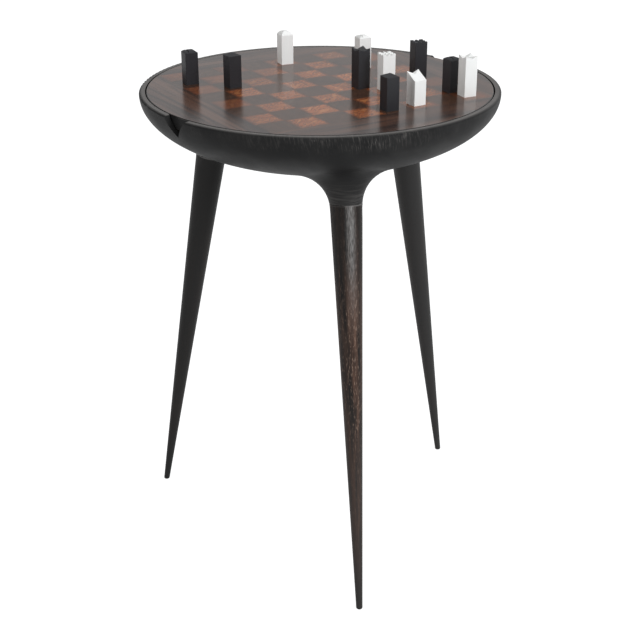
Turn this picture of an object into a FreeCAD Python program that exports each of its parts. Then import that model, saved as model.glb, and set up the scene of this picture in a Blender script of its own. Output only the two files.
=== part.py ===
"""Round chess table: a hollow bowl on three splayed legs, closed by a lift-off chess board with its pieces."""
import FreeCAD, Part
import math
import os

V = FreeCAD.Vector
UP = V(0, 0, 1)
ORIGIN = V(0, 0, 0)

# Bowl
TABLE_HEIGHT = 688.0
RIM_RADIUS = 250.0
RIM_ROUND = 3.0
BOWL_DEPTH = 98.5
BOWL_FLOOR = 16.0
LEDGE_WIDTH = 14.0

# Finger notches through the rim
NOTCH_WIDTH = 45.0
NOTCH_DEPTH = 26.5
NOTCH_ROOT_ROUND = 1.5

# Legs and their necks, in turn about the table's axis
LEGS = ("leg_front", "leg_right", "leg_left")
FRONT_LEG_ANGLE = -90.0
FOOT_OVERHANG = 21.7
LEG_TILT = 10.22
FOOT_RADIUS = 4.55
LEG_TAPER = 0.0295
NECK_LENGTH = 36.5
NECK_BLEND = 46.0
SEAM_EASE = 0.6
FOOT_EASE = 2.2

# Leg fixings
BOLT_RADIUS = 4.0
BOLT_IN_LEG = 45.0
BOLT_IN_NECK = 20.0
INSERT_RADIUS = 7.0
INSERT_LENGTH = 25.0
THREAD_CLEARANCE = 0.1
BOLT_TIP_ROOM = 2.0

# Lid
LID_CLEARANCE = 1.5
RIM_WIDTH = 8.5
LID_THICKNESS = 18.0
INLAY_THICKNESS = 1.5
BACKING_THICKNESS = 1.0
EDGE_BAND = 2.0
LID_ARRIS = 0.8

# Chess board, whose corners stop just short of the lid's edge
CORNER_INSET = 1.28
SQUARES_A_SIDE = 8
BOARD_TURN = 19.03
GLUE_LINE = 0.1

# Game pieces
PIECE_SIDE = 18.5
PIECE_EDGE = 0.4
KING_HEIGHT = 55.0
KING_CROWN = 3.6
QUEEN_HEIGHT = 48.6
QUEEN_DOME = 6.1
ROOK_HEIGHT = 50.5
ROOK_GROOVES = 2
ROOK_GROOVE_DEPTH = 2.2
ROOK_GROOVE_WIDTH = 4.4
BISHOP_HEIGHT = 47.4
BISHOP_DOME = 3.6
BISHOP_SLIT_OFFSET = 3.5
BISHOP_SLIT_WIDTH = 2.8
BISHOP_SLIT_DEPTH = 3.0
KNIGHT_HEIGHT = 43.5
KNIGHT_SLOPE = 10.6
KNIGHT_EARS = 3.8
PAWN_HEIGHT = 48.4
PAWN_ROOF = 4.3

# Where each game piece stands: squares along and across the board from its centre, and its turn in degrees
PLACES = {
    "white_king": ("king", 3.40, -3.47, -5.0),
    "white_queen": ("queen", 0.56, 3.34, -7.0),
    "white_rook": ("rook", 1.58, -1.54, -8.0),
    "white_bishop": ("bishop", 2.57, 1.44, -8.0),
    "white_knight": ("knight", 1.41, -3.50, 2.0),
    "black_king": ("king", 1.03, -0.86, 0.0),
    "black_rook": ("rook", 3.46, -0.63, -9.0),
    "black_bishop_left": ("bishop", -3.50, 2.51, -7.0),
    "black_bishop_right": ("bishop", 3.30, -2.77, 0.0),
    "black_pawn_left": ("pawn", -2.51, 1.38, 2.0),
    "black_pawn_right": ("pawn", 0.35, -3.60, -3.5),
}

# Worked out from the sizes above
RIM_CENTRE_Z = TABLE_HEIGHT - RIM_ROUND
BOWL_BASE_Z = RIM_CENTRE_Z - BOWL_DEPTH
LEDGE_Z = TABLE_HEIGHT - LID_THICKNESS
RECESS_RADIUS = RIM_RADIUS - RIM_WIDTH
LID_RADIUS = RECESS_RADIUS - LID_CLEARANCE
HOLLOW_RADIUS = RECESS_RADIUS - LEDGE_WIDTH
INLAY_Z = TABLE_HEIGHT - INLAY_THICKNESS
CORE_Z = LEDGE_Z + BACKING_THICKNESS
HALF_BOARD = (LID_RADIUS - CORNER_INSET) / math.sqrt(2)
SQUARE = HALF_BOARD * 2 / SQUARES_A_SIDE
EDGE_TOLERANCE = 0.05
FOOT_CIRCLE_RADIUS = RIM_RADIUS + FOOT_OVERHANG
LEG_ANGLES = {name: FRONT_LEG_ANGLE + 360 / len(LEGS) * place for place, name in enumerate(LEGS)}
NOTCH_ANGLES = (LEG_ANGLES["leg_right"], LEG_ANGLES["leg_right"] + 180)
TILT_SIN = math.sin(math.radians(LEG_TILT))
TILT_COS = math.cos(math.radians(LEG_TILT))


def about_axis(shape, angle):
    """Turn a shape about the table's upright axis, in degrees."""
    turned = shape.copy()
    turned.rotate(ORIGIN, UP, angle)
    return turned


def line(start, end):
    """Straight edge between two points of the upright half plane towards +Y, given as (radius, height)."""
    return Part.LineSegment(V(0, *start), V(0, *end)).toShape()


def quarter_ellipse(radius, depth, centre_z):
    """Edge of a quarter ellipse from its widest point down to the axis."""
    centre = V(0, 0, centre_z)
    widest = centre + V(0, radius, 0)
    lowest = centre - V(0, 0, depth)
    ellipse = Part.Ellipse(widest, lowest, centre)
    return Part.ArcOfEllipse(ellipse, 0, math.pi / 2).toBSpline().toShape()


def revolved(edges):
    """Solid turned about the table's axis from a closed outline."""
    face = Part.Face(Part.Wire(Part.__sortEdges__(edges)))
    return face.revolve(ORIGIN, UP, 360)


def leg_axis_hit():
    """Length along a leg's axis, from the floor, at which it meets the bowl's underside."""
    square = (TILT_SIN / RIM_RADIUS) ** 2 + (TILT_COS / BOWL_DEPTH) ** 2
    linear = FOOT_CIRCLE_RADIUS * TILT_SIN / RIM_RADIUS ** 2 + RIM_CENTRE_Z * TILT_COS / BOWL_DEPTH ** 2
    constant = (FOOT_CIRCLE_RADIUS / RIM_RADIUS) ** 2 + (RIM_CENTRE_Z / BOWL_DEPTH) ** 2 - 1
    return (linear - math.sqrt(linear ** 2 - square * constant)) / square


AXIS_HIT = leg_axis_hit()
SEAM = AXIS_HIT - NECK_LENGTH
NECK_ROOT = AXIS_HIT + BOWL_FLOOR / 2
FOOT_TRIM = FOOT_RADIUS


def on_leg(along):
    """Point on the axis of the leg that stands towards +X, a given length up from the floor."""
    return V(FOOT_CIRCLE_RADIUS - along * TILT_SIN, 0, along * TILT_COS)


LEG_UP = on_leg(1) - on_leg(0)


def leg_radius(along):
    """Radius of the tapered leg, a given length up its axis."""
    return FOOT_RADIUS + LEG_TAPER * along


def leg_rod(radius, start, end):
    """Plain rod on the axis of the leg that stands towards +X."""
    return Part.makeCylinder(radius, end - start, on_leg(start), LEG_UP)


def bowl_outside():
    """The bowl's outer shape, solid up to the rim."""
    centre = V(0, RIM_RADIUS - RIM_ROUND, RIM_CENTRE_Z)
    half_way = centre + V(0, RIM_ROUND * math.sqrt(0.5), RIM_ROUND * math.sqrt(0.5))
    rim_edge = Part.Arc(centre + V(0, RIM_ROUND, 0), half_way, centre + V(0, 0, RIM_ROUND)).toShape()
    return revolved([
        quarter_ellipse(RIM_RADIUS, BOWL_DEPTH, RIM_CENTRE_Z),
        rim_edge,
        line((RIM_RADIUS - RIM_ROUND, TABLE_HEIGHT), (0, TABLE_HEIGHT)),
        line((0, TABLE_HEIGHT), (0, BOWL_BASE_Z)),
    ])


def bowl_inside():
    """The space inside the bowl: the lid's recess over its ledge, and the storage hollow."""
    hollow_depth = LEDGE_Z - BOWL_BASE_Z - BOWL_FLOOR
    recess_top = TABLE_HEIGHT + LID_THICKNESS
    return revolved([
        quarter_ellipse(HOLLOW_RADIUS, hollow_depth, LEDGE_Z),
        line((HOLLOW_RADIUS, LEDGE_Z), (RECESS_RADIUS, LEDGE_Z)),
        line((RECESS_RADIUS, LEDGE_Z), (RECESS_RADIUS, recess_top)),
        line((RECESS_RADIUS, recess_top), (0, recess_top)),
        line((0, recess_top), (0, BOWL_BASE_Z + BOWL_FLOOR)),
    ])


def finger_notch():
    """V-shaped groove, cut outwards through the ledge and the rim towards +X."""
    flare = NOTCH_WIDTH / 2 / NOTCH_DEPTH
    rise = NOTCH_DEPTH + RIM_ROUND
    root = V(HOLLOW_RADIUS - LEDGE_WIDTH, 0, TABLE_HEIGHT - NOTCH_DEPTH)
    outline = Part.makePolygon([root, root + V(0, rise * flare, rise), root + V(0, -rise * flare, rise), root])
    groove = Part.Face(outline).extrude(V(RIM_RADIUS - root.x + LEDGE_WIDTH, 0, 0))
    root_edges = [edge for edge in groove.Edges if edge.BoundBox.ZMax < root.z + RIM_ROUND]
    return groove.makeFillet(NOTCH_ROOT_ROUND, root_edges)


def bowl_shell():
    """The bowl before its necks are joined on: hollow, with its ledge and finger notches."""
    notches = [about_axis(finger_notch(), angle) for angle in NOTCH_ANGLES]
    return bowl_outside().cut(bowl_inside()).cut(notches)


def from_leg_axis(point, angle):
    """Length up the axis of the leg at an angle, and distance from that axis, of one point."""
    turn = FreeCAD.Rotation(UP, angle)
    from_foot = point - turn.multVec(on_leg(0))
    direction = turn.multVec(LEG_UP)
    return from_foot.dot(direction), from_foot.cross(direction).Length


def is_neck_edge(edge):
    """True for an edge where a leg's neck runs into the bowl's underside."""
    middle = edge.valueAt((edge.FirstParameter + edge.LastParameter) / 2)
    for angle in LEG_ANGLES.values():
        along, distance = from_leg_axis(middle, angle)
        if along > SEAM and abs(distance - leg_radius(along)) < EDGE_TOLERANCE:
            return True
    return False


def is_seam_edge(edge):
    """True for an outer edge of the seam between a leg and its neck."""
    points = [edge.valueAt(edge.FirstParameter), edge.valueAt((edge.FirstParameter + edge.LastParameter) / 2)]
    for angle in LEG_ANGLES.values():
        places = [from_leg_axis(point, angle) for point in points]
        in_seam = all(abs(along - SEAM) < EDGE_TOLERANCE for along, _ in places)
        if in_seam and all(-EDGE_TOLERANCE < distance - leg_radius(SEAM) < NECK_BLEND for _, distance in places):
            return True
    return False


def seam_eased(solid):
    """The same solid, with a small chamfer along the outer edge of each seam."""
    return solid.makeChamfer(SEAM_EASE, [edge for edge in solid.Edges if is_seam_edge(edge)])


def neck_blend():
    """Radius of the blend from neck to bowl, kept within the room between the neck and the rim."""
    room = RIM_RADIUS - on_leg(AXIS_HIT).x - leg_radius(AXIS_HIT)
    return min(NECK_BLEND, room)


def blended_blank():
    """Bowl and legs as one blended shape, before the legs are parted from their necks."""
    leg = Part.makeCone(
        leg_radius(-FOOT_TRIM), leg_radius(NECK_ROOT), NECK_ROOT + FOOT_TRIM, on_leg(-FOOT_TRIM), LEG_UP
    )
    blank = bowl_shell().fuse([about_axis(leg, angle) for angle in LEG_ANGLES.values()])
    return blank.makeFillet(neck_blend(), [edge for edge in blank.Edges if is_neck_edge(edge)])


def below_seam():
    """Space round the leg towards +X, from under the floor up to the seam with its neck."""
    return leg_rod(leg_radius(SEAM) + NECK_BLEND, -FOOT_TRIM * 2, SEAM)


def bowl_body(blank):
    """The bowl with its necks, parted from the legs and bored for their inserts."""
    insert_hole = leg_rod(INSERT_RADIUS + THREAD_CLEARANCE, SEAM, SEAM + INSERT_LENGTH)
    parted = blank.cut([about_axis(below_seam(), angle) for angle in LEG_ANGLES.values()])
    return seam_eased(parted.cut([about_axis(insert_hole, angle) for angle in LEG_ANGLES.values()]))


def leg(blank, angle):
    """One tapered leg, cut flat at the floor, with a hole for its hanger bolt."""
    floor = Part.makeBox(
        RIM_RADIUS * 4, RIM_RADIUS * 4, RIM_RADIUS, V(-RIM_RADIUS * 2, -RIM_RADIUS * 2, -RIM_RADIUS)
    )
    bolt_hole = leg_rod(BOLT_RADIUS + THREAD_CLEARANCE, SEAM - BOLT_IN_LEG - BOLT_TIP_ROOM, SEAM)
    solid = blank.common(about_axis(below_seam(), angle)).cut([floor, about_axis(bolt_hole, angle)])
    foot_edges = [edge for edge in solid.Edges if edge.BoundBox.ZMax < FOOT_EASE]
    return seam_eased(solid.makeFillet(FOOT_EASE, foot_edges))


def hanger_bolts():
    """One bolt per leg, half in the leg and half in the neck's insert."""
    bolt = leg_rod(BOLT_RADIUS, SEAM - BOLT_IN_LEG, SEAM + BOLT_IN_NECK)
    return Part.makeCompound([about_axis(bolt, angle) for angle in LEG_ANGLES.values()])


def thread_inserts():
    """One sleeve per neck, which takes the leg's bolt."""
    sleeve = leg_rod(INSERT_RADIUS, SEAM, SEAM + INSERT_LENGTH)
    sleeve = sleeve.cut(leg_rod(BOLT_RADIUS + THREAD_CLEARANCE, SEAM, SEAM + INSERT_LENGTH))
    return Part.makeCompound([about_axis(sleeve, angle) for angle in LEG_ANGLES.values()])


def disc(radius, bottom, top):
    """Round panel on the table's axis."""
    return Part.makeCylinder(radius, top - bottom, V(0, 0, bottom))


def inlay_disc():
    """The whole inlaid layer of the lid, with its top arris eased."""
    layer = disc(LID_RADIUS, INLAY_Z, TABLE_HEIGHT)
    top_edges = [edge for edge in layer.Edges if edge.BoundBox.ZMin > TABLE_HEIGHT - LID_ARRIS]
    return layer.makeChamfer(LID_ARRIS, top_edges)


def board_tile(column, row):
    """One square of the board, cut round where the lid's edge crosses it."""
    side = SQUARE - GLUE_LINE
    corner = V(column * SQUARE - HALF_BOARD + GLUE_LINE / 2, row * SQUARE - HALF_BOARD + GLUE_LINE / 2, INLAY_Z)
    tile = Part.makeBox(side, side, INLAY_THICKNESS, corner)
    last = SQUARES_A_SIDE - 1
    if column in (0, last) and row in (0, last):
        tile = tile.common(inlay_disc()).Solids[0]
    return about_axis(tile, BOARD_TURN)


def board_squares(parity):
    """All squares of one colour, as separate tiles."""
    places = [(column, row) for column in range(SQUARES_A_SIDE) for row in range(SQUARES_A_SIDE)]
    return Part.makeCompound([board_tile(*place) for place in places if sum(place) % 2 == parity])


def border_segment(angle):
    """The inlaid circle segment between one side of the board and the lid's edge, mitred at its ends."""
    near, far = HALF_BOARD + GLUE_LINE / 2, LID_RADIUS * 2
    near_end, far_end = (reach - GLUE_LINE / math.sqrt(2) for reach in (near, far))
    corners = [(near, -near_end), (far, -far_end), (far, far_end), (near, near_end), (near, -near_end)]
    outline = Part.makePolygon([V(x, y, INLAY_Z) for x, y in corners])
    wedge = Part.Face(outline).extrude(V(0, 0, INLAY_THICKNESS))
    return about_axis(inlay_disc().common(wedge).Solids[0], BOARD_TURN + angle)


def groove(depth, width, top, offset=0.0):
    """V-shaped groove along Y in the top of a game piece."""
    reach = PIECE_SIDE
    flare = width / 2 / depth
    root = V(offset, -reach, top - depth)
    rise = depth * 2
    outline = Part.makePolygon([root, root + V(rise * flare, 0, rise), root + V(-rise * flare, 0, rise), root])
    return Part.Face(outline).extrude(V(0, reach * 2, 0))


def piece_block(height):
    """Upright square block with eased edges, standing on the origin."""
    half = PIECE_SIDE / 2
    block = Part.makeBox(PIECE_SIDE, PIECE_SIDE, height, V(-half, -half, 0))
    upright = [edge for edge in block.Edges if edge.BoundBox.ZLength > height / 2]
    return block.makeFillet(PIECE_EDGE, upright)


def quarter_turn(shape):
    """The same shape, turned a quarter about the upright axis."""
    return about_axis(shape, 90)


def king():
    """Block with a crown of four corner points."""
    valley = groove(KING_CROWN, PIECE_SIDE, KING_HEIGHT)
    return piece_block(KING_HEIGHT).cut([valley, quarter_turn(valley)])


def domed_block(height, dome):
    """Block whose top swells to a dome, springing from four level edges."""
    half = PIECE_SIDE / 2
    left, crown, right = V(-half, -half, height - dome), V(0, -half, height), V(half, -half, height - dome)
    arch = Part.Arc(left, crown, right).toShape()
    sides = Part.makePolygon([right, V(half, -half, 0), V(-half, -half, 0), left])
    vault = Part.Face(Part.Wire([arch] + sides.Edges)).extrude(V(0, PIECE_SIDE, 0))
    return piece_block(height).common(vault).common(quarter_turn(vault))


def queen():
    """Block with a plain high dome."""
    return domed_block(QUEEN_HEIGHT, QUEEN_DOME)


def bishop():
    """Block with a low dome, slit to one side of its middle."""
    slit = groove(BISHOP_SLIT_DEPTH, BISHOP_SLIT_WIDTH, BISHOP_HEIGHT, -BISHOP_SLIT_OFFSET)
    return domed_block(BISHOP_HEIGHT, BISHOP_DOME).cut(slit)


def rook():
    """Block with a battlement of small points, left between crossing grooves."""
    step = PIECE_SIDE / (ROOK_GROOVES + 1)
    offsets = [(index + 1) * step - PIECE_SIDE / 2 for index in range(ROOK_GROOVES)]
    grooves = [groove(ROOK_GROOVE_DEPTH, ROOK_GROOVE_WIDTH, ROOK_HEIGHT, offset) for offset in offsets]
    return piece_block(ROOK_HEIGHT).cut(grooves + [quarter_turn(cut) for cut in grooves])


def knight():
    """Block with a sloping top and two ears along its high side."""
    half = PIECE_SIDE / 2
    low = V(-PIECE_SIDE, -half, KNIGHT_HEIGHT - KNIGHT_SLOPE)
    high = V(-PIECE_SIDE, half, KNIGHT_HEIGHT)
    outline = Part.makePolygon([low, high, V(low.x, low.y, high.z), low])
    wedge = Part.Face(outline).extrude(V(PIECE_SIDE * 2, 0, 0))
    return piece_block(KNIGHT_HEIGHT).cut([wedge, groove(KNIGHT_EARS, PIECE_SIDE, KNIGHT_HEIGHT)])


def pawn():
    """Block under a low pyramid roof."""
    half = PIECE_SIDE / 2
    eaves = PAWN_HEIGHT - PAWN_ROOF
    outline = [(-half, 0), (half, 0), (half, eaves), (0, PAWN_HEIGHT), (-half, eaves), (-half, 0)]
    gable = Part.Face(Part.makePolygon([V(x, -half, z) for x, z in outline])).extrude(V(0, PIECE_SIDE, 0))
    return piece_block(PAWN_HEIGHT).common(gable).common(quarter_turn(gable))


SHAPES = {"king": king, "queen": queen, "rook": rook, "bishop": bishop, "knight": knight, "pawn": pawn}


def standing_piece(kind, along, across, turn):
    """A game piece on its place on the board."""
    piece = about_axis(SHAPES[kind](), turn)
    piece.translate(V(along * SQUARE, across * SQUARE, TABLE_HEIGHT))
    return about_axis(piece, BOARD_TURN)


def build():
    """All pieces of the table, by node name."""
    blank = blended_blank()
    nodes = {"bowl_body": bowl_body(blank)}
    for name, angle in LEG_ANGLES.items():
        nodes[name] = leg(blank, angle)
    nodes["leg_hanger_bolts"] = hanger_bolts()
    nodes["leg_thread_inserts"] = thread_inserts()
    nodes["lid_backing_veneer"] = disc(LID_RADIUS, LEDGE_Z, CORE_Z)
    core = disc(LID_RADIUS - EDGE_BAND, CORE_Z, INLAY_Z)
    nodes["lid_core"] = core
    nodes["lid_edge_band"] = disc(LID_RADIUS, CORE_Z, INLAY_Z).cut(core)
    nodes["dark_squares"] = board_squares(0)
    nodes["light_squares"] = board_squares(1)
    for index, side in enumerate(("right", "back", "left", "front")):
        nodes["border_" + side] = border_segment(index * 90)
    for name, place in PLACES.items():
        nodes[name] = standing_piece(*place)
    return nodes


os.makedirs("parts", exist_ok=True)
for node, shape in build().items():
    shape.exportStep("parts/" + node + ".step")
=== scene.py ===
"""Looks of a round chess table: an ebonised bowl on tapered legs, a lift-off inlaid board and its pieces."""
import logging
import math
from dataclasses import dataclass, field
from enum import Enum

import bpy
from mathutils import Matrix, Vector

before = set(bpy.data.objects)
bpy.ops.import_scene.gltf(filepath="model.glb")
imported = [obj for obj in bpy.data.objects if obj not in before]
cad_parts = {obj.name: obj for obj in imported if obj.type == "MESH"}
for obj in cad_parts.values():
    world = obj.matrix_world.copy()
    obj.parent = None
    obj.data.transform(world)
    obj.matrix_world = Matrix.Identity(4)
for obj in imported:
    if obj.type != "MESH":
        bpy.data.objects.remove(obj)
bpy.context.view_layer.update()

log = logging.getLogger("chess_table")

Pair = tuple[float, float]
Triple = tuple[float, float, float]
Colour = tuple[float, float, float]
Socket = bpy.types.NodeSocket

ORIGIN: Triple = (0.0, 0.0, 0.0)
METRE: Triple = (1.0, 1.0, 1.0)
LEVEL_ONLY: Triple = (1.0, 1.0, 0.0)
WHITE = (1.0, 1.0, 1.0, 1.0)


class Tone(Enum):
    """The two colours of board squares and of game pieces."""

    DARK = "dark"
    LIGHT = "light"


class Edge(Enum):
    """Sides of the board."""

    RIGHT = "right"
    BACK = "back"
    LEFT = "left"
    FRONT = "front"

    @property
    def node(self) -> str:
        """Name of the border's CAD node."""
        return "border_" + self.value

    @property
    def grain_turn(self) -> float:
        """Turn of the border's grain from the board's own, in radians."""
        return math.pi / 2 if self in (Edge.RIGHT, Edge.LEFT) else 0.0


class Sketch:
    """A material under construction, with short ways to add and join its nodes."""

    def __init__(self, name: str) -> None:
        """Start an empty material with one main shader.

        Args:
            name: Name of the material.
        """
        self.material = bpy.data.materials.new(name)
        self.material.use_nodes = True
        self.tree = self.material.node_tree
        self.shader = next(node for node in self.tree.nodes if node.type == "BSDF_PRINCIPLED")

    def add(self, kind: str, **inputs: object) -> bpy.types.Node:
        """Add a node and fill or join its inputs.

        Args:
            kind: Blender's name of the node type, without its ShaderNode prefix.
            inputs: Values or sockets by input name, with underscores for spaces.

        Returns:
            The new node.
        """
        node = self.tree.nodes.new("ShaderNode" + kind)
        for name, value in inputs.items():
            self.put(node.inputs[name.replace("_", " ")], value)
        return node

    def put(self, target: Socket, value: object) -> None:
        """Join a socket to an input, or set its value.

        Args:
            target: The input.
            value: A socket, a number or a tuple.
        """
        if isinstance(value, bpy.types.NodeSocket):
            self.tree.links.new(value, target)
        else:
            target.default_value = value

    def place(self, size: Triple, turn: Triple = ORIGIN, centre: Triple = ORIGIN) -> Socket:
        """Object coordinates, counted in pattern sizes along turned axes.

        Args:
            size: Size of the pattern along each of its axes, in metres.
            turn: Turn of the pattern's axes, in radians.
            centre: Where the pattern is centred, in metres.

        Returns:
            The coordinates.
        """
        mapping = self.add("Mapping", Vector=self.add("TexCoord").outputs["Object"])
        mapping.vector_type = "TEXTURE"
        mapping.inputs["Location"].default_value = centre
        mapping.inputs["Rotation"].default_value = turn
        mapping.inputs["Scale"].default_value = size
        return mapping.outputs["Vector"]

    def around(self, radius: float, across: float, up: float, lean: float) -> Socket:
        """Coordinates wrapped round the table's axis, counted in pattern sizes.

        Args:
            radius: Where the pattern has its true width, in metres from the axis.
            across: Width of the pattern, in metres.
            up: Height of the pattern, in metres.
            lean: How far the pattern leans round the axis per metre of height, in metres.

        Returns:
            The coordinates.
        """
        spot = self.add("SeparateXYZ", Vector=self.place(METRE)).outputs
        leaning = self.sum("MULTIPLY", spot["Z"], -lean / across)
        angle = self.sum("ARCTAN2", spot["Y"], spot["X"])
        along = self.sum("MULTIPLY_ADD", angle, radius / across, leaning)
        return self.add("CombineXYZ", X=along, Y=self.sum("DIVIDE", spot["Z"], up)).outputs["Vector"]

    def height(self) -> Socket:
        """Height above the floor with the table at rest, in metres."""
        return self.add("SeparateXYZ", Vector=self.place(METRE)).outputs["Z"]

    def sideways(self) -> Socket:
        """Distance to the right of the table's axis with the table at rest, in metres."""
        return self.add("SeparateXYZ", Vector=self.place(METRE)).outputs["X"]

    def reach(self) -> Socket:
        """Distance from the table's upright axis with the table at rest, in metres."""
        return self.length(self.vector("MULTIPLY", self.place(METRE), LEVEL_ONLY))

    def length(self, where: Socket) -> Socket:
        """Length of a vector.

        Args:
            where: The vector.

        Returns:
            Its length.
        """
        node = self.add("VectorMath", Vector=where)
        node.operation = "LENGTH"
        return node.outputs["Value"]

    def noise(self, where: Socket, detail: float = 3.0, rough: float = 0.55, twist: float = 0.0) -> Socket:
        """Soft noise with one feature per unit of its coordinates.

        Args:
            where: The coordinates.
            detail: Octaves of finer noise.
            rough: Strength of the finer octaves.
            twist: How far the noise is warped.

        Returns:
            The noise, from 0 to 1.
        """
        node = self.add("TexNoise", Vector=where, Scale=1.0, Detail=detail, Roughness=rough, Distortion=twist)
        return node.outputs["Fac"]

    def ramp(self, value: Socket, low: float, high: float, start: float = 0.0, end: float = 1.0) -> Socket:
        """Smooth step of a value from one range to another.

        Args:
            value: The value.
            low: Where the step starts.
            high: Where the step ends.
            start: Result below low.
            end: Result above high.

        Returns:
            The stepped value.
        """
        node = self.tree.nodes.new("ShaderNodeMapRange")
        node.interpolation_type = "SMOOTHSTEP"
        settings = {"Value": value, "From Min": low, "From Max": high, "To Min": start, "To Max": end}
        for name, setting in settings.items():
            self.put(node.inputs[name], setting)
        return node.outputs["Result"]

    def mix(self, share: object, first: object, second: object) -> Socket:
        """Blend of two colours.

        Args:
            share: How much of the second colour, from 0 to 1.
            first: The first colour.
            second: The second colour.

        Returns:
            The blend.
        """
        node = self.tree.nodes.new("ShaderNodeMix")
        node.data_type = "RGBA"
        self.put(node.inputs["Factor"], share)
        colours = [socket for socket in node.inputs if socket.type == "RGBA"]
        for socket, value in zip(colours, (first, second)):
            self.put(socket, (*value, 1.0) if isinstance(value, tuple) else value)
        return next(socket for socket in node.outputs if socket.type == "RGBA")

    def sum(self, operation: str, first: object, second: object = 0.5, third: object = 0.5) -> Socket:
        """One sum on numbers.

        Args:
            operation: Blender's name of the sum.
            first: First number.
            second: Second number.
            third: Third number, where the sum has one.

        Returns:
            The result.
        """
        node = self.tree.nodes.new("ShaderNodeMath")
        node.operation = operation
        for socket, value in zip(node.inputs, (first, second, third)):
            self.put(socket, value)
        return node.outputs["Value"]

    def vector(self, operation: str, first: object, second: object = ORIGIN) -> Socket:
        """One sum on vectors.

        Args:
            operation: Blender's name of the sum.
            first: First vector.
            second: Second vector.

        Returns:
            The resulting vector.
        """
        node = self.tree.nodes.new("ShaderNodeVectorMath")
        node.operation = operation
        self.put(node.inputs[0], first)
        self.put(node.inputs[1], second)
        return node.outputs["Vector"]

    def relief(self, height: Socket, depth: float, strength: float) -> None:
        """Give the shader a relief.

        Args:
            height: Height of the relief, from 0 to 1.
            depth: Its full depth, in metres.
            strength: How strongly it shows.
        """
        bump = self.add("Bump", Height=height, Distance=depth, Strength=strength)
        self.put(self.shader.inputs["Normal"], bump.outputs["Normal"])

    def finish(self, **inputs: object) -> bpy.types.Material:
        """Fill the shader's own inputs.

        Args:
            inputs: Values or sockets by input name, with underscores for spaces.

        Returns:
            The finished material.
        """
        for name, value in inputs.items():
            self.put(self.shader.inputs[name.replace("_", " ")], value)
        return self.material


@dataclass(frozen=True)
class EbonisedOak:
    """Blackened oak: smooth low down, scratched along its grain under the rim, with painted sheen on the rim's
    flat top.

    Fields that end in band are two places in metres, those that end in step are two levels of noise, and those
    that end in share or least are strengths from 0 to 1. The other finishes use the same words.
    """

    black: Colour = (0.0112, 0.0112, 0.0114)
    grey: Colour = (0.0168, 0.0166, 0.0165)
    wear_and_sheen: Colour = (0.16, 0.15, 0.143)
    grain_turn: Triple = (0.0, math.radians(14.0), math.radians(-8.0))
    cloud_size: Triple = (0.05, 0.16, 0.035)
    cloud_step: Pair = (0.35, 0.7)
    rim_radius: float = 0.25
    scratch_width: float = 0.00105
    scratch_length: float = 0.015
    scratch_lean: float = -0.18
    scratch_step: Pair = (0.52, 0.7)
    scratch_band: Pair = (0.661, 0.6842)
    scratch_share: Pair = (0.02, 0.75)
    scratched_side: float = -0.01
    scratched_band: Pair = (0.06, 0.14)
    scratched_least: float = 0.15
    patch_size: Triple = (0.05, 0.05, 0.03)
    patch_step: Pair = (0.35, 0.65)
    patch_least: float = 0.3
    neck_band: Pair = (0.574, 0.622)
    neck_share: float = 0.29
    turning_size: Triple = (0.03, 0.03, 0.0011)
    turning_step: Pair = (0.42, 0.68)
    turning_least: float = 0.25
    rim_band: Pair = (0.6864, 0.6879)
    rim_share: float = 0.95
    round_band: Pair = (0.2455, 0.2485)
    round_least: float = 0.3
    sheen_step: Pair = (0.3, 0.7)
    sheen_least: float = 0.65
    relief_depth: float = 0.0008
    relief_strength: float = 0.4
    rough_step: Pair = (0.3, 0.7)
    rough: Pair = (0.5, 0.42)
    sheen: float = 0.15

    def make(self, name: str) -> bpy.types.Material:
        """Build the material.

        Args:
            name: Name of the material.

        Returns:
            The material.
        """
        sketch = Sketch(name)
        clouds = sketch.noise(sketch.place(self.cloud_size, self.grain_turn), detail=4.0, twist=0.4)
        wall = sketch.around(self.rim_radius, self.scratch_width, self.scratch_length, self.scratch_lean)
        scratches = sketch.noise(wall, detail=2.0, twist=1.1)
        patches = sketch.noise(sketch.place(self.patch_size), detail=1.0)
        turnings = sketch.noise(sketch.place(self.turning_size), detail=2.0)
        colour = sketch.mix(sketch.ramp(clouds, *self.cloud_step), self.black, self.grey)

        near_rim = sketch.ramp(sketch.height(), *self.scratch_band, *self.scratch_share)
        aside = sketch.sum("ABSOLUTE", sketch.sum("SUBTRACT", sketch.sideways(), self.scratched_side))
        near_middle = sketch.ramp(aside, *self.scratched_band, 1.0, self.scratched_least)
        opened = sketch.sum("MULTIPLY", near_rim, near_middle)
        patched = sketch.ramp(patches, *self.patch_step, self.patch_least, 1.0)
        open_grain = sketch.sum("MULTIPLY", opened, patched)
        lines = sketch.sum("MULTIPLY", sketch.ramp(scratches, *self.scratch_step), open_grain)

        on_neck = sketch.ramp(sketch.height(), *self.neck_band, self.neck_share, 0.0)
        turned = sketch.ramp(turnings, *self.turning_step, self.turning_least, 1.0)
        rings = sketch.sum("MULTIPLY", turned, on_neck)

        # Painted sheen: the flat top of the rim is lightened towards grey, less over its rounded outer edge,
        # and broken up by the scratch noise.
        on_rim = sketch.ramp(sketch.height(), *self.rim_band, 0.0, self.rim_share)
        flat_top = sketch.ramp(sketch.reach(), *self.round_band, 1.0, self.round_least)
        on_flat = sketch.sum("MULTIPLY", on_rim, flat_top)
        painted_sheen = sketch.sum("MULTIPLY", on_flat, sketch.ramp(scratches, *self.sheen_step, self.sheen_least, 1.0))

        # The overlay mixes the real scratches and turning marks with the painted sheen on the rim.
        worn = sketch.sum("MAXIMUM", sketch.sum("MAXIMUM", lines, painted_sheen), rings)
        colour = sketch.mix(worn, colour, self.wear_and_sheen)
        sketch.relief(sketch.sum("MULTIPLY", scratches, open_grain), self.relief_depth, self.relief_strength)
        rough = sketch.ramp(clouds, *self.rough_step, *self.rough)
        return sketch.finish(Base_Color=colour, Roughness=rough, Specular_IOR_Level=self.sheen)


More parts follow.
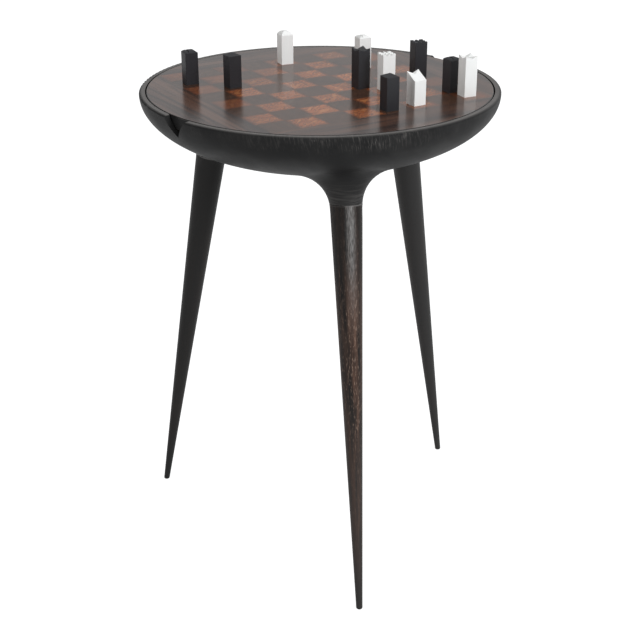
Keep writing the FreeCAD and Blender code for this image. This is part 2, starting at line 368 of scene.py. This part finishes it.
@dataclass(frozen=True)
class LegWood:
    """Dark flecked wood of one leg, with its grain along the leg, stained black towards the neck and foot, and
    painted light and shade on it.
    """

    angle: float
    foot_circle: float
    tilt: float
    flecked: float = 1.0
    black: Colour = (0.0085, 0.0081, 0.0079)
    dusty: Colour = (0.028, 0.0258, 0.025)
    brown: Colour = (0.1, 0.056, 0.04)
    fleck: Colour = (0.27, 0.185, 0.143)
    wear_and_sheen: Colour = (0.255, 0.247, 0.241)
    brown_band: Pair = (0.01, 0.16)
    dusty_band: Pair = (0.14, 0.38)
    dusty_brown: float = 0.55
    dusty_fleck: float = 0.16
    stain_band: Pair = (0.39, 0.56)
    stained_least: float = 0.28
    streak_size: Triple = (0.005, 0.005, 0.13)
    streak_step: Pair = (0.3, 0.68)
    fleck_size: Triple = (0.0011, 0.0011, 0.009)
    fleck_step: Pair = (0.55, 0.72)
    fleck_range: Pair = (0.3, 0.75)
    middle_side: float = 0.001
    sheen_reach: float = 0.0095
    sheen_least: float = 0.25
    middle_reach: float = 0.0125
    side_share: float = 0.36
    top_edge: Pair = (0.5808, 0.5823)
    top_edge_share: float = 0.4
    top_edge_side: Pair = (-0.009, -0.003)
    top_edge_least: float = 0.2
    fleck_height: float = 0.8
    streak_height: float = 0.3
    relief_depth: float = 0.0003
    relief_strength: float = 0.3
    rough: Pair = (0.36, 0.46)
    sheen: float = 0.17

    def make(self, name: str) -> bpy.types.Material:
        """Build the material.

        Args:
            name: Name of the leg.

        Returns:
            The material.
        """
        sketch = Sketch(name + "_wood")
        turn = (0.0, -self.tilt, self.angle)
        foot = (self.foot_circle * math.cos(self.angle), self.foot_circle * math.sin(self.angle), 0.0)
        streaks = sketch.noise(sketch.place(self.streak_size, turn, foot), detail=3.0, twist=0.3)
        flecks = sketch.noise(sketch.place(self.fleck_size, turn, foot), detail=2.0, rough=0.6)
        on_leg = sketch.add("SeparateXYZ", Vector=sketch.place(METRE, turn, foot)).outputs
        off_middle = sketch.sum("ABSOLUTE", sketch.sum("SUBTRACT", on_leg["Y"], self.middle_side))

        # Painted shade: brown and flecks fade towards the leg's sides, so its middle reads lighter than its
        # sides.
        near_middle = sketch.ramp(off_middle, 0.0, self.middle_reach, 1.0, self.side_share)
        stain_and_light = sketch.ramp(sketch.height(), *self.stain_band)
        above_foot = sketch.ramp(sketch.height(), *self.brown_band)
        bare = sketch.sum("MULTIPLY", above_foot, sketch.ramp(stain_and_light, 0.0, 1.0, 1.0, self.stained_least))
        shown = sketch.sum("MULTIPLY", sketch.sum("MULTIPLY", bare, near_middle), self.flecked)
        dust = sketch.ramp(sketch.height(), *self.dusty_band, self.flecked, 0.0)

        browned = sketch.sum("MULTIPLY", sketch.ramp(streaks, *self.streak_step), shown)
        browned = sketch.sum("MULTIPLY", browned, sketch.ramp(dust, 0.0, 1.0, 1.0, self.dusty_brown))
        wood = sketch.mix(browned, sketch.mix(dust, self.black, self.dusty), self.brown)
        cracked = sketch.sum("MULTIPLY", shown, sketch.ramp(dust, 0.0, 1.0, 1.0, self.dusty_fleck))
        fleck_share = sketch.sum("MULTIPLY", sketch.ramp(flecks, *self.fleck_step), cracked)
        wood = sketch.mix(fleck_share, wood, self.fleck)

        # Painted highlight: a pale strip down the upper leg, just right of its middle, broken up by the
        # flecks.
        painted_sheen = sketch.sum("MULTIPLY", sketch.ramp(off_middle, 0.0, self.sheen_reach, self.flecked, 0.0), stain_and_light)
        painted_sheen = sketch.sum("MULTIPLY", painted_sheen, sketch.ramp(flecks, *self.fleck_range, self.sheen_least, 1.0))
        # Painted glint along the seam at the top of the leg, mostly on its right half.
        edge = sketch.ramp(on_leg["Z"], *self.top_edge, 0.0, self.top_edge_share)
        beside = sketch.ramp(on_leg["Y"], *self.top_edge_side, self.top_edge_least, 1.0)
        edge = sketch.sum("MULTIPLY", edge, beside)
        wood = sketch.mix(sketch.sum("MAXIMUM", painted_sheen, edge), wood, self.wear_and_sheen)

        ridges = sketch.sum("MULTIPLY", streaks, self.streak_height)
        pores = sketch.sum("MULTIPLY_ADD", flecks, self.fleck_height, ridges)
        sketch.relief(pores, self.relief_depth, self.relief_strength)
        rough = sketch.ramp(flecks, *self.fleck_range, *self.rough)
        return sketch.finish(Base_Color=wood, Roughness=rough, Specular_IOR_Level=self.sheen)


@dataclass(frozen=True)
class SatinCoat:
    """Satin lacquer over a veneer, a little glossier along the pale streaks of its grain."""

    gloss: float = 0.19
    gloss_spread: float = 0.05
    streak_step: Pair = (0.2, 0.8)
    relief_depth: float = 0.00012
    relief_strength: float = 0.25

    def cover(self, sketch: Sketch, wood: Socket, streaks: Socket) -> bpy.types.Material:
        """Finish a veneer.

        Args:
            sketch: The material under construction.
            wood: Colour of the veneer.
            streaks: Its grain, from 0 to 1.

        Returns:
            The finished material.
        """
        sketch.relief(streaks, self.relief_depth, self.relief_strength)
        rough = sketch.ramp(streaks, *self.streak_step, self.gloss + self.gloss_spread, self.gloss)
        return sketch.finish(Base_Color=wood, Roughness=rough)


@dataclass(frozen=True)
class BoardVeneer:
    """Lacquered veneer of the squares of one tone, each square cut from another place in the wood."""

    tone: Tone
    turn: float
    square: float
    deep: Colour
    warm: Colour
    pale: Colour
    vein: Colour
    spread: float
    burnt: float
    coat: SatinCoat = SatinCoat()
    tile_seed: Triple = (7.3, 2.9, 0.0)
    tile_shift: Triple = (37.0, 53.0, 11.0)
    half_of_tiles: Pair = (0.49, 0.51)
    streak_size: Triple = (0.05, 0.0024, 0.02)
    streak_step: Pair = (0.3, 0.7)
    figure_size: Triple = (0.022, 0.0065, 0.02)
    figure_turn: float = math.pi / 5
    figure_step: Pair = (0.45, 0.75)
    figure_share: float = 0.7
    vein_level: float = 0.5
    vein_width: float = 0.035
    vein_share: float = 0.75
    pale_middle: Triple = (0.012, -0.105, 0.688)
    pale_shape: Triple = (1.0, 1.9, 1.0)
    pale_band: Pair = (0.06, 0.18)
    pale_least: float = 0.1
    shade_by_tile: float = 0.4
    shade_by_place: float = 0.6
    margin_wander: float = 0.22
    margin_step: Pair = (0.44, 0.6)

    def squares(self, sketch: Sketch) -> Socket:
        """Level coordinates counted in squares along the board's sides.

        Args:
            sketch: The material under construction.

        Returns:
            The coordinates.
        """
        counted = sketch.place((self.square, self.square, self.square), (0.0, 0.0, self.turn))
        return sketch.vector("MULTIPLY", counted, LEVEL_ONLY)

    def tile(self, sketch: Sketch) -> tuple[Socket, Socket]:
        """A number and a random colour that stay the same over each square.

        Args:
            sketch: The material under construction.

        Returns:
            The number, from 0 to 1, and the colour.
        """
        cell = sketch.vector("FLOOR", self.squares(sketch))
        white = sketch.add("TexWhiteNoise", Vector=sketch.vector("ADD", cell, self.tile_seed))
        return white.outputs["Value"], white.outputs["Color"]

    def margin(self, sketch: Sketch, wander: Socket) -> Socket:
        """How near a spot lies to the sides of its square, along a wandering line.

        Args:
            sketch: The material under construction.
            wander: Noise that shifts the line.

        Returns:
            The nearness, from 0 to 1.
        """
        inside = sketch.vector("FRACTION", self.squares(sketch))
        spot = sketch.add("SeparateXYZ", Vector=sketch.vector("SUBTRACT", inside, (0.5, 0.5, 0.5))).outputs
        off = sketch.sum("MAXIMUM", sketch.sum("ABSOLUTE", spot["X"]), sketch.sum("ABSOLUTE", spot["Y"]))
        return sketch.ramp(sketch.sum("MULTIPLY_ADD", wander, self.margin_wander, off), *self.margin_step)

    def grain(self, sketch: Sketch, size: Triple, offset: Socket, quarter: float) -> Socket:
        """Grain along one side of the squares, shifted from square to square.

        Args:
            sketch: The material under construction.
            size: Size of the grain along and across.
            offset: Shift, which changes from square to square.
            quarter: Turn from the board's own direction, in radians.

        Returns:
            The grain, from 0 to 1.
        """
        where = sketch.place(size, (0.0, 0.0, self.turn + quarter))
        shifted = sketch.vector("ADD", where, sketch.vector("MULTIPLY", offset, self.tile_shift))
        return sketch.noise(shifted, detail=4.0, rough=0.6, twist=0.6)

    def make(self) -> bpy.types.Material:
        """Build the material.

        Returns:
            The material.
        """
        sketch = Sketch(self.tone.value + "_veneer")
        number, offset = self.tile(sketch)
        across = sketch.ramp(number, *self.half_of_tiles)
        along_streaks = self.grain(sketch, self.streak_size, offset, 0.0)
        cross_streaks = self.grain(sketch, self.streak_size, offset, math.pi / 2)
        figure = self.grain(sketch, self.figure_size, offset, self.figure_turn)
        gap = sketch.sum("SUBTRACT", cross_streaks, along_streaks)
        streaks = sketch.sum("MULTIPLY_ADD", gap, across, along_streaks)

        wood = sketch.mix(sketch.ramp(streaks, *self.streak_step), self.deep, self.warm)
        figured = sketch.sum("MULTIPLY", sketch.ramp(figure, *self.figure_step), self.figure_share)
        wood = sketch.mix(figured, wood, self.pale)
        off_vein = sketch.sum("ABSOLUTE", sketch.sum("SUBTRACT", figure, self.vein_level))
        wood = sketch.mix(sketch.ramp(off_vein, 0.0, self.vein_width, self.vein_share, 0.0), wood, self.vein)

        # Squares get darker away from a paler patch near the front middle of the board.
        away = sketch.length(sketch.place(self.pale_shape, centre=self.pale_middle))
        off_pale_middle = sketch.ramp(away, *self.pale_band, self.pale_least, 1.0)
        random_shade = sketch.add("SeparateXYZ", Vector=offset).outputs["Y"]
        placed_shade = sketch.sum("MULTIPLY", off_pale_middle, self.shade_by_place)
        shade = sketch.sum("MULTIPLY_ADD", random_shade, self.shade_by_tile, placed_shade)
        wood = sketch.mix(sketch.sum("MULTIPLY", shade, self.spread), wood, self.vein)
        burn = sketch.sum("MULTIPLY", self.margin(sketch, figure), self.burnt)
        return self.coat.cover(sketch, sketch.mix(burn, wood, self.vein), streaks)


@dataclass(frozen=True)
class BorderVeneer:
    """Lacquered dark veneer with straight grain, for the lid's borders and underside, with painted shade along
    its outer edge.
    """

    deep: Colour = (0.026, 0.0145, 0.0115)
    warm: Colour = (0.112, 0.055, 0.036)
    edge_shade: Colour = (0.008, 0.006, 0.0052)
    rim_band: Pair = (0.2382, 0.2394)
    streak_size: Triple = (0.16, 0.007, 0.03)
    streak_share: float = 0.65
    stripe_size: Triple = (0.5, 0.03, 0.1)
    stripe_share: float = 0.4
    tone_step: Pair = (0.42, 0.66)
    coat: SatinCoat = SatinCoat()

    def make(self, name: str, turn: float) -> bpy.types.Material:
        """Build the material.

        Args:
            name: Name of the piece.
            turn: Direction of the grain, in radians.

        Returns:
            The material.
        """
        sketch = Sketch(name + "_veneer")
        along = (0.0, 0.0, turn)
        streaks = sketch.noise(sketch.place(self.streak_size, along), detail=4.0, rough=0.62, twist=0.5)
        stripes = sketch.noise(sketch.place(self.stripe_size, along), detail=2.0)
        striped = sketch.sum("MULTIPLY", stripes, self.stripe_share)
        tone = sketch.sum("MULTIPLY_ADD", streaks, self.streak_share, striped)
        wood = sketch.mix(sketch.ramp(tone, *self.tone_step), self.deep, self.warm)
        # Painted shade: the veneer turns almost black along its outer edge, where the lid meets the bowl's
        # rim.
        wood = sketch.mix(sketch.ramp(sketch.reach(), *self.rim_band), wood, self.edge_shade)
        return self.coat.cover(sketch, wood, streaks)


@dataclass(frozen=True)
class Lacquer:
    """Sprayed matt lacquer of the game pieces, with a faint wood grain under it."""

    tone: Tone
    colour: Colour
    worn: Colour
    rough: float
    sheen: float
    rough_spread: float = 0.05
    grain_size: Triple = (0.0016, 0.0016, 0.03)
    grain_step: Pair = (0.25, 0.75)
    cloud_size: Triple = (0.012, 0.012, 0.02)
    cloud_step: Pair = (0.35, 0.8)
    cloud_share: float = 0.6
    relief_depth: float = 0.0001
    relief_strength: float = 0.2

    def make(self) -> bpy.types.Material:
        """Build the material.

        Returns:
            The material.
        """
        sketch = Sketch(self.tone.value + "_lacquer")
        grain = sketch.noise(sketch.place(self.grain_size), detail=3.0)
        cloud = sketch.noise(sketch.place(self.cloud_size), detail=2.0)
        clouded = sketch.ramp(cloud, *self.cloud_step, 0.0, self.cloud_share)
        colour = sketch.mix(clouded, self.colour, self.worn)
        sketch.relief(grain, self.relief_depth, self.relief_strength)
        dull, bright = self.rough + self.rough_spread, self.rough - self.rough_spread
        rough = sketch.ramp(grain, *self.grain_step, dull, bright)
        return sketch.finish(Base_Color=colour, Roughness=rough, Specular_IOR_Level=self.sheen)


@dataclass(frozen=True)
class PanelCore:
    """Raw laminated panel inside the lid."""

    pale: Colour = (0.5, 0.36, 0.22)
    brown: Colour = (0.3, 0.19, 0.11)
    ply: float = 0.003
    ply_scale: float = 0.5
    ply_waver: float = 0.3
    ply_share: float = 0.5
    grain_size: Triple = (0.1, 0.004, 0.004)
    grain_share: float = 0.6
    relief_depth: float = 0.0002
    relief_strength: float = 0.3
    rough: float = 0.65

    def make(self) -> bpy.types.Material:
        """Build the material.

        Returns:
            The material.
        """
        sketch = Sketch("panel_core")
        layers = sketch.place((1.0, 1.0, self.ply))
        wave = sketch.add("TexWave", Vector=layers, Scale=self.ply_scale, Distortion=self.ply_waver)
        wave.bands_direction = "Z"
        grain = sketch.noise(sketch.place(self.grain_size), detail=3.0)
        grained = sketch.sum("MULTIPLY", grain, self.grain_share)
        tone = sketch.sum("MULTIPLY_ADD", wave.outputs["Fac"], self.ply_share, grained)
        sketch.relief(grain, self.relief_depth, self.relief_strength)
        return sketch.finish(Base_Color=sketch.mix(tone, self.brown, self.pale), Roughness=self.rough)


@dataclass(frozen=True)
class ThreadedMetal:
    """Bare metal of the leg fixings, with the look of a thread."""

    name: str
    bright: Colour
    dull: Colour
    pitch: float = 0.00125
    turns_scale: float = math.pi / 10.0
    thread_strength: float = 0.6
    stain_size: Triple = (0.004, 0.004, 0.004)
    stain_step: Pair = (0.35, 0.7)
    rough_step: Pair = (0.3, 0.7)
    rough: Pair = (0.28, 0.45)

    def make(self) -> bpy.types.Material:
        """Build the material.

        Returns:
            The material.
        """
        sketch = Sketch(self.name)
        turns = sketch.place((1.0, 1.0, self.pitch))
        wave = sketch.add("TexWave", Vector=turns, Scale=self.turns_scale)
        wave.bands_direction = "Z"
        stains = sketch.noise(sketch.place(self.stain_size), detail=4.0)
        sketch.relief(wave.outputs["Fac"], self.pitch / 2, self.thread_strength)
        colour = sketch.mix(sketch.ramp(stains, *self.stain_step), self.bright, self.dull)
        rough = sketch.ramp(stains, *self.rough_step, *self.rough)
        return sketch.finish(Base_Color=colour, Metallic=1.0, Roughness=rough)


def dress(node: str, material: bpy.types.Material) -> None:
    """Give a CAD node one material all over.

    Args:
        node: Name of the node.
        material: Its material.
    """
    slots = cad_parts[node].data.materials
    for index in range(len(slots)):
        slots[index] = material
    log.info("%s dressed in %s", node, material.name)


@dataclass
class Base:
    """The bowl, its three legs and the fixings that hold them."""

    foot_circle: float = 0.2717
    leg_tilt: float = math.radians(10.22)
    leg_angles: dict[str, float] = field(
        default_factory=lambda: {"leg_front": -90.0, "leg_right": 30.0, "leg_left": 150.0}
    )
    # Painted light and shade: each rear leg gets a plain black of its own, lighter on the right leg, which
    # faces the key light.
    lit_black: dict[str, Colour] = field(
        default_factory=lambda: {"leg_right": (0.028, 0.0273, 0.027), "leg_left": (0.0137, 0.0134, 0.0132)}
    )
    plain_flecks: float = 0.05
    bolt_steel: ThreadedMetal = ThreadedMetal("bolt_steel", (0.6, 0.61, 0.62), (0.42, 0.42, 0.43))
    insert_brass: ThreadedMetal = ThreadedMetal("insert_brass", (0.75, 0.56, 0.28), (0.5, 0.36, 0.17))

    def build(self) -> None:
        """Dress the bowl, the legs and their fixings."""
        dress("bowl_body", EbonisedOak().make("ebonised_oak"))
        for name, angle in self.leg_angles.items():
            wood = LegWood(math.radians(angle), self.foot_circle, self.leg_tilt, **self.stain_and_light(name))
            dress(name, wood.make(name))
        dress("leg_hanger_bolts", self.bolt_steel.make())
        dress("leg_thread_inserts", self.insert_brass.make())

    def stain_and_light(self, leg: str) -> dict[str, object]:
        """How one leg's wood departs from the flecked wood of the front leg: a rear leg gets almost no flecks
        and a plain black of its own, with painted light and shade in it.

        Args:
            leg: Name of the leg.

        Returns:
            Fields of the leg's wood.
        """
        if leg not in self.lit_black:
            return {}
        return {"flecked": self.plain_flecks, "black": self.lit_black[leg]}


@dataclass
class Lid:
    """The lift-off lid: a panel with a chess board and four borders laid into its top."""

    board_turn: float = math.radians(19.03)
    square: float = 0.0422
    # Black in place of the wear and painted sheen, so the lid's edge band stays dark on top.
    edge_wear_and_sheen: Colour = (0.012, 0.0115, 0.0113)

    def build(self) -> None:
        """Dress the panel, the squares, the borders and the edge."""
        dark = BoardVeneer(
            Tone.DARK, self.board_turn, self.square, deep=(0.045, 0.02, 0.012), warm=(0.1, 0.047, 0.027),
            pale=(0.125, 0.063, 0.038), vein=(0.028, 0.015, 0.01), spread=0.4, burnt=0.1,
        )
        light = BoardVeneer(
            Tone.LIGHT, self.board_turn, self.square, deep=(0.27, 0.07, 0.021), warm=(0.5, 0.155, 0.047),
            pale=(0.6, 0.255, 0.088), vein=(0.085, 0.03, 0.016), spread=0.92, burnt=0.75,
        )
        dress("dark_squares", dark.make())
        dress("light_squares", light.make())
        border = BorderVeneer()
        for edge in Edge:
            dress(edge.node, border.make(edge.node, self.board_turn + edge.grain_turn))
        dress("lid_edge_band", EbonisedOak(wear_and_sheen=self.edge_wear_and_sheen).make("ebonised_edge"))
        dress("lid_backing_veneer", border.make("lid_backing_veneer", self.board_turn))
        dress("lid_core", PanelCore().make())


@dataclass
class GameSet:
    """The block-shaped chess pieces on the board."""

    white: Lacquer = Lacquer(Tone.LIGHT, (0.84, 0.84, 0.825), (0.81, 0.805, 0.785), rough=0.5, sheen=0.5)
    black: Lacquer = Lacquer(Tone.DARK, (0.018, 0.018, 0.021), (0.022, 0.022, 0.025), rough=0.45, sheen=0.55)

    def build(self) -> None:
        """Dress every piece in the lacquer of its own side."""
        finishes = {"white": self.white.make(), "black": self.black.make()}
        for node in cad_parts:
            side = node.split("_")[0]
            if side in finishes:
                dress(node, finishes[side])


@dataclass(frozen=True)
class SoftBox:
    """One soft studio light, which leaves no glare in the lid."""

    name: str
    spot: Triple
    target: Triple
    width: float
    watts: float
    colour: Colour

    def hang(self) -> None:
        """Hang the light and point it."""
        data = bpy.data.lights.new(self.name, "AREA")
        data.shape = "RECTANGLE"
        data.size = data.size_y = self.width
        data.energy = self.watts
        data.color = self.colour
        lamp = bpy.data.objects.new(self.name, data)
        bpy.context.scene.collection.objects.link(lamp)
        lamp.location = self.spot
        lamp.rotation_euler = (Vector(self.target) - Vector(self.spot)).to_track_quat("-Z", "Y").to_euler()
        lamp.visible_camera = False
        lamp.visible_glossy = False


@dataclass
class Studio:
    """Plain studio: the photograph's view, a pale floor and soft lights."""

    azimuth: float = math.radians(-11.527)
    pitch: float = 0.43176
    roll: float = -0.00228
    distance: float = 1.93696
    aim_side: float = -0.00085
    aim_height: float = 0.32968
    lens: float = 72.38
    sensor: float = 36.0
    clip_near: float = 0.05
    floor_size: float = 24.0
    floor_drop: float = 0.0003
    floor_white: float = 0.9
    floor_glow: float = 0.4
    floor_rough: float = 0.9
    floor_cloud: Triple = (0.6, 0.6, 0.6)
    floor_dark: Colour = (0.29, 0.29, 0.29)
    floor_pale: Colour = (0.31, 0.31, 0.31)
    air: float = 0.59
    air_tint: Colour = (0.98, 0.99, 1.0)
    dim_air: float = 0.2
    dim_side: Triple = (-0.94, 0.342, 0.0)
    dim_start: float = 0.3
    dim_end: float = 0.8
    lights: tuple[SoftBox, ...] = (
        SoftBox("key", (5.62, -5.06, 3.7), (0.0, 0.0, 0.65), 2.6, 440.0, (0.95, 0.975, 1.0)),
        SoftBox("fill", (-3.2, -1.4, 1.5), (0.0, 0.0, 0.65), 2.4, 36.0, (1.0, 1.0, 1.0)),
        SoftBox("overhead", (0.2, 0.3, 2.9), (0.0, 0.0, 0.0), 3.4, 9.0, (1.0, 0.995, 0.985)),
    )

    def build(self) -> None:
        """Set up camera, floor, lights and surroundings."""
        self.camera()
        self.floor()
        for light in self.lights:
            light.hang()
        self.surroundings()
        bpy.context.scene.view_settings.view_transform = "Standard"

    def camera(self) -> None:
        """Place the camera where the photograph was taken from."""
        turn = Matrix.Rotation(self.azimuth, 3, "Z")
        ahead = turn @ Vector((0.0, math.cos(self.pitch), -math.sin(self.pitch)))
        level = turn @ Vector((1.0, 0.0, 0.0))
        upright = level.cross(ahead)
        right = math.cos(self.roll) * level + math.sin(self.roll) * upright
        above = -math.sin(self.roll) * level + math.cos(self.roll) * upright
        spot = Vector((0.0, 0.0, self.aim_height)) - self.distance * ahead + self.aim_side * right
        data = bpy.data.cameras.new("photograph_view")
        data.lens = self.lens
        data.sensor_width = self.sensor
        data.clip_start = self.clip_near
        camera = bpy.data.objects.new("photograph_view", data)
        bpy.context.scene.collection.objects.link(camera)
        axes = Matrix((right, above, -ahead)).transposed()
        camera.matrix_world = Matrix.Translation(spot) @ axes.to_4x4()
        bpy.context.scene.camera = camera

    def floor(self) -> None:
        """Lay a plain pale floor under the feet."""
        bpy.ops.object.select_all(action="DESELECT")
        bpy.ops.mesh.primitive_plane_add(size=self.floor_size, location=(0.0, 0.0, -self.floor_drop))
        floor = bpy.context.active_object
        floor.name = "studio_floor"
        sketch = Sketch("studio_floor")
        tint = sketch.noise(sketch.place(self.floor_cloud), detail=2.0)
        colour = sketch.mix(tint, self.floor_dark, self.floor_pale)
        seen = sketch.add("LightPath").outputs["Is Camera Ray"]
        glow = sketch.sum("MULTIPLY_ADD", seen, self.floor_white - self.floor_glow, self.floor_glow)
        paper = sketch.finish(
            Base_Color=colour, Roughness=self.floor_rough, Emission_Color=WHITE, Emission_Strength=glow
        )
        floor.data.materials.append(paper)

    def surroundings(self) -> None:
        """Soft light from all round, dimmer at the left, before a white background."""
        world = bpy.data.worlds.new("studio")
        world.use_nodes = True
        bpy.context.scene.world = world
        tree = world.node_tree
        fill = tree.nodes["Background"]
        fill.inputs["Color"].default_value = (*self.air_tint, 1.0)
        side = tree.nodes.new("ShaderNodeVectorMath")
        side.operation = "DOT_PRODUCT"
        side.inputs[1].default_value = self.dim_side
        tree.links.new(tree.nodes.new("ShaderNodeTexCoord").outputs["Generated"], side.inputs[0])
        dim = tree.nodes.new("ShaderNodeMapRange")
        dim.interpolation_type = "SMOOTHSTEP"
        dim.inputs["From Min"].default_value = self.dim_start
        dim.inputs["From Max"].default_value = self.dim_end
        dim.inputs["To Min"].default_value = self.air
        dim.inputs["To Max"].default_value = self.dim_air
        tree.links.new(side.outputs["Value"], dim.inputs["Value"])
        tree.links.new(dim.outputs["Result"], fill.inputs["Strength"])
        backdrop = tree.nodes.new("ShaderNodeBackground")
        backdrop.inputs["Color"].default_value = WHITE
        choice = tree.nodes.new("ShaderNodeMixShader")
        tree.links.new(tree.nodes.new("ShaderNodeLightPath").outputs["Is Camera Ray"], choice.inputs[0])
        tree.links.new(fill.outputs[0], choice.inputs[1])
        tree.links.new(backdrop.outputs[0], choice.inputs[2])
        tree.links.new(choice.outputs[0], tree.nodes["World Output"].inputs["Surface"])


def main() -> None:
    """Build the table's looks and the studio."""
    logging.basicConfig(level=logging.INFO, format="%(message)s")
    for assembly in (Base(), Lid(), GameSet(), Studio()):
        assembly.build()
        log.info("%s built", type(assembly).__name__)


if __name__ == "__main__":
    main()
